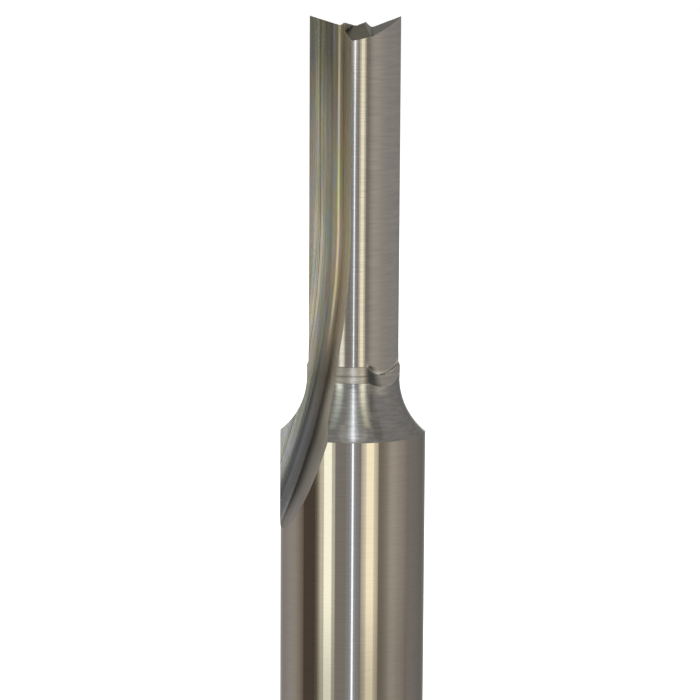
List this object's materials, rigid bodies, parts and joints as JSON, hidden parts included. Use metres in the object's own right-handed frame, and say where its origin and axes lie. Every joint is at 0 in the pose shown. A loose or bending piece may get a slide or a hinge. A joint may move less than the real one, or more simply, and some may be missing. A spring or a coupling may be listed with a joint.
{
  "type": "router bit",
  "caption": "Solid carbide straight router bit with a plain half-inch shank, a flared neck and a two-flute right-hand cutting head.",
  "frame": {"origin": "centre of the shank's flat end face", "axes": "+Z along the axis, from the shank end to the cutting end; the front tooth's cutting edge lies on +X and its rake face looks along +Y"},
  "size_m": [0.0126, 0.0126, 0.0762],
  "materials": {
    "carbide": "ground tungsten carbide, satin, with polished lands"
  },
  "bodies": {
    "root": {"router_bit": "carbide"}
  },
  "joints": []
}
